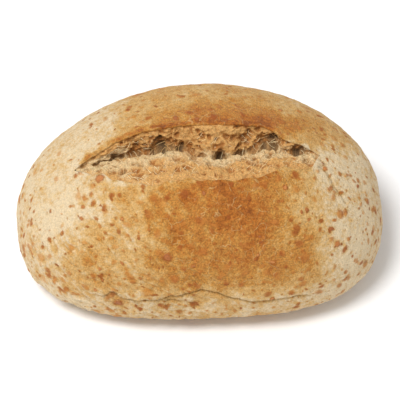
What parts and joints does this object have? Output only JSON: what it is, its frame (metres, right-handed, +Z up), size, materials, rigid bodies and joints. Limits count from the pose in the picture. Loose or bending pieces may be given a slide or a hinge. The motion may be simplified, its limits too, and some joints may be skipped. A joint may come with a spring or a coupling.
{
  "type": "bread roll",
  "caption": "Oval wholemeal bread roll: domed crust on a flat base, burst open along a slit on top so that the torn crumb shows.",
  "frame": {"origin": "centre of the bounding box at the table, on the flat base", "axes": "+X along the roll's length, -Y towards the front, the side with the crease along its foot, +Z up through the dome and the burst slit"},
  "size_m": [0.115, 0.08, 0.05],
  "materials": {
    "crust": "matte"
  },
  "bodies": {
    "root": {"bread_roll": "crust"}
  },
  "joints": []
}
